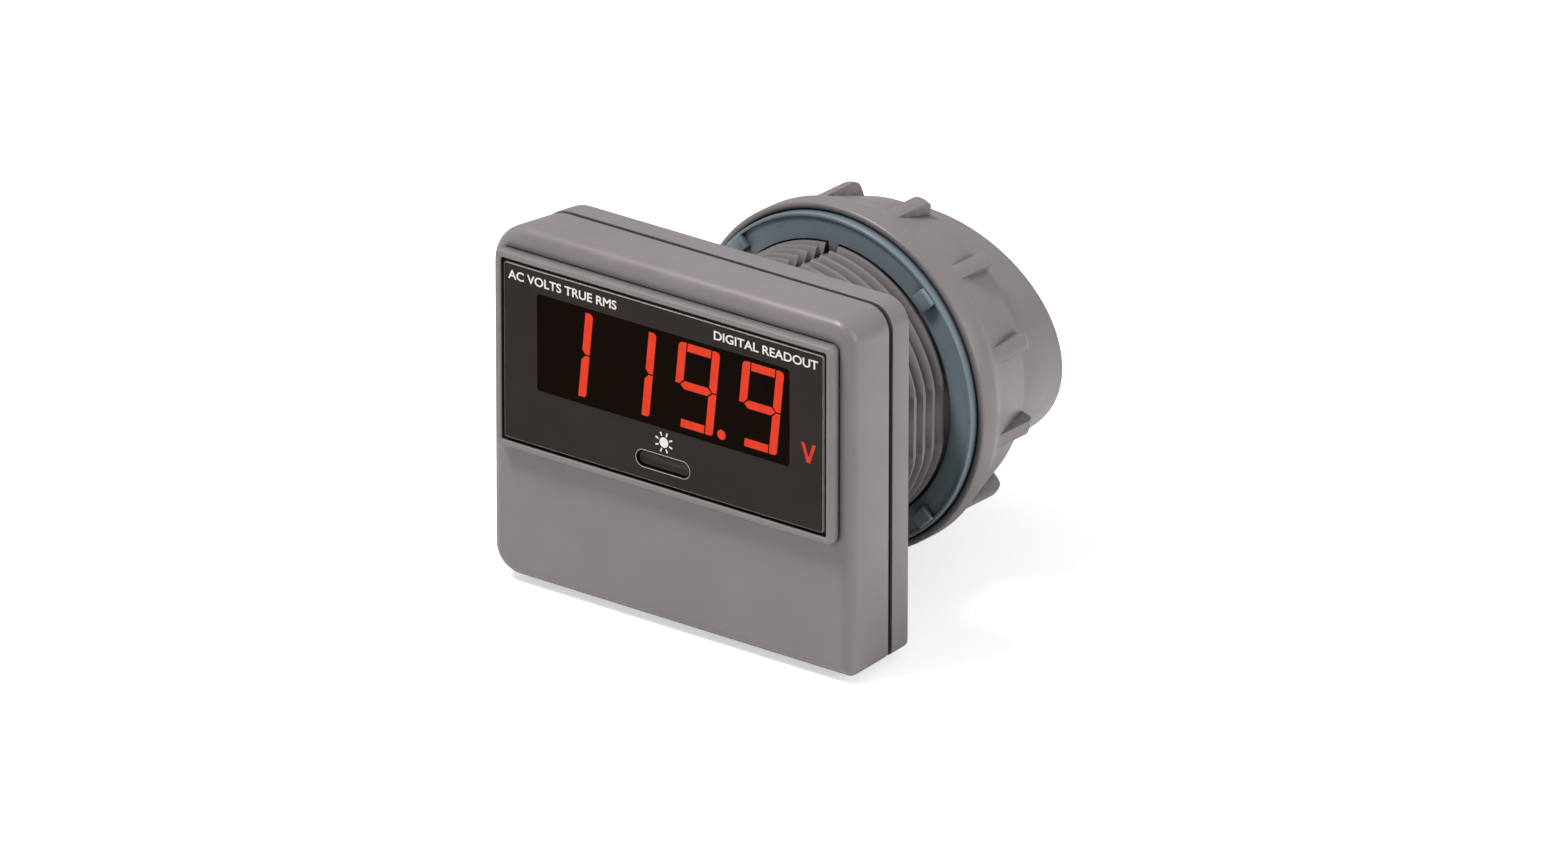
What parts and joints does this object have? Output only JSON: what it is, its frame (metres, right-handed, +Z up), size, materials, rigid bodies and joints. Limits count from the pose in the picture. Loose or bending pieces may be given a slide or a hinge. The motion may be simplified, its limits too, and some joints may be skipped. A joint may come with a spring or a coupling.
{
  "type": "flush-mount digital AC voltmeter",
  "caption": "Rectangular panel meter with a lit digital display and one button; its threaded round barrel passes through the panel and a keyed washer and ribbed ring nut clamp it.",
  "frame": {"origin": "on the back plate's panel face, midway across and 38.7 mm straight above the barrel's axis, so Y = 0 is the panel's front face", "axes": "-Y out of the display towards the user, +Y back along the threaded barrel, +X to the right of the display, +Z up"},
  "size_m": [0.0968, 0.1056, 0.0819],
  "materials": {
    "housing_plastic": "fine matt moulded finish",
    "washer_plastic": "fine matt moulded finish",
    "label_film": "smooth printed film",
    "window_acrylic": "tinted, smooth",
    "button_plastic": "smooth",
    "led_plastic": "smooth",
    "circuit_board": "satin solder mask",
    "black_plastic": "smooth",
    "gasket_rubber": "matt",
    "core_steel": "bare laminations",
    "winding_tape": "taped winding",
    "screw_steel": "zinc plated",
    "terminal_brass": "plated brass",
    "blue_plastic": "sleeved"
  },
  "bodies": {
    "housing": {"front_bezel": "housing_plastic", "display_frame": "housing_plastic", "label_plate": "label_film", "display_window": "window_acrylic", "switch_body": "black_plastic", "led_digit_1": "led_plastic", "led_digit_2": "led_plastic", "led_digit_3": "led_plastic", "led_digit_4": "led_plastic", "display_board": "circuit_board", "board_screw_1": "screw_steel", "board_screw_2": "screw_steel", "board_screw_3": "screw_steel", "board_screw_4": "screw_steel", "rear_housing": "housing_plastic", "panel_gasket": "gasket_rubber", "housing_screw_1": "screw_steel", "housing_screw_2": "screw_steel", "housing_screw_3": "screw_steel", "housing_screw_4": "screw_steel", "main_board": "circuit_board", "board_header": "black_plastic", "transformer_core": "core_steel", "transformer_winding": "winding_tape", "filter_capacitor": "blue_plastic", "driver_chip": "black_plastic", "rectifier": "black_plastic", "trim_pot": "blue_plastic", "rear_cap": "housing_plastic", "cap_screw_1": "screw_steel", "cap_screw_2": "screw_steel", "terminal_plate_1": "terminal_brass", "terminal_screw_1": "screw_steel", "terminal_plate_2": "terminal_brass", "terminal_screw_2": "screw_steel", "terminal_plate_3": "terminal_brass", "terminal_screw_3": "screw_steel", "terminal_block": "black_plastic"},
    "button": {"brightness_button": "button_plastic"},
    "plunger": {"switch_plunger": "button_plastic"},
    "washer": {"panel_washer": "washer_plastic"},
    "nut": {"ring_nut": "housing_plastic"}
  },
  "joints": [
    {"name": "button_press", "type": "slide", "parent": "housing", "child": "button", "axis": [0, 1, 0], "range_m": [0, 0.0006]},
    {"name": "plunger_press", "type": "slide", "parent": "housing", "child": "plunger", "axis": [0, 1, 0], "range_m": [0, 0.0006]},
    {"name": "washer_slide", "type": "slide", "parent": "housing", "child": "washer", "axis": [0, 1, 0], "range_m": [-0.03018, 0.00954]},
    {"name": "nut_turn", "type": "hinge", "parent": "washer", "child": "nut", "pos_m": [0, 0.041, -0.0387], "axis": [0, 1, 0], "range_deg": [-3420, 1080]}
  ],
  "couplings": [
    {"joint": "plunger_press", "follows": "button_press", "ratio": 1},
    {"joint": "washer_slide", "follows": "nut_turn", "m_per_rad": 0.00050532}
  ]
}
